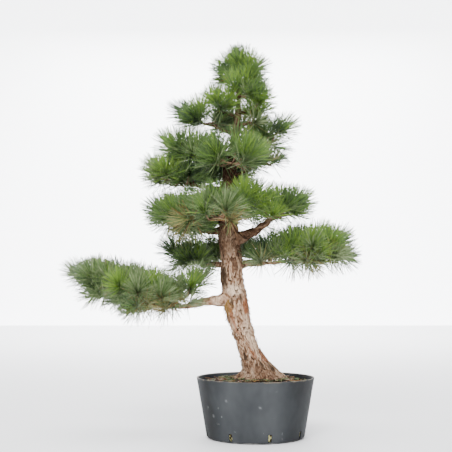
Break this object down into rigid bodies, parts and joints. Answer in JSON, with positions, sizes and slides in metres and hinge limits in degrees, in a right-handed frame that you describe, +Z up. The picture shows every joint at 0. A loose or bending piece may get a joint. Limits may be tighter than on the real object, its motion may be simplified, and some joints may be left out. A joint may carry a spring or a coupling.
{
  "type": "japanese black pine bonsai in a round plastic training pot",
  "caption": "Potted bonsai pine with a leaning, root-flared trunk, layered boughs of long needle tufts and a round plastic training pot with slots round its foot.",
  "frame": {"origin": "centre of the pot's flat underside", "axes": "+Z up along the trunk, +X to the tree's right as seen from its front, -Y towards the front"},
  "size_m": [0.7652, 0.4272, 1.0183],
  "materials": {
    "pot": "satin dark blue-grey plastic with pale scuffs",
    "soil": "loose brown soil with moss, grit and bark scraps",
    "bark": "rough plated bark, pale tan with dark furrows",
    "needles": "satin mid green needles on brown twigs"
  },
  "bodies": {
    "root": {"bough_back_left": "bark", "bough_crown_back": "bark", "bough_crown_front": "bark", "bough_crown_left": "bark", "bough_crown_right": "bark", "bough_front_right": "bark", "bough_low_back": "bark", "bough_lower_left": "bark", "bough_lower_right": "bark", "bough_main_back": "bark", "bough_main_front": "bark", "bough_main_left": "bark", "bough_main_right": "bark", "bough_mid_back": "bark", "bough_mid_front": "bark", "bough_mid_left": "bark", "bough_mid_left_upper": "bark", "bough_mid_right": "bark", "bough_mid_right_low": "bark", "bough_upper_back": "bark", "bough_upper_left": "bark", "bough_upper_right": "bark", "foliage_apex": "needles", "foliage_back_left": "needles", "foliage_crown_back": "needles", "foliage_crown_front": "needles", "foliage_crown_left": "needles", "foliage_crown_right": "needles", "foliage_front_right": "needles", "foliage_low_back": "needles", "foliage_lower_left": "needles", "foliage_lower_right": "needles", "foliage_main_back": "needles", "foliage_main_front": "needles", "foliage_main_left": "needles", "foliage_main_right": "needles", "foliage_mid_back": "needles", "foliage_mid_front": "needles", "foliage_mid_left": "needles", "foliage_mid_left_upper": "needles", "foliage_mid_right": "needles", "foliage_mid_right_low": "needles", "foliage_upper_back": "needles", "foliage_upper_left": "needles", "foliage_upper_right": "needles", "pot": "pot", "soil": "soil", "trunk": "bark"}
  },
  "joints": []
}
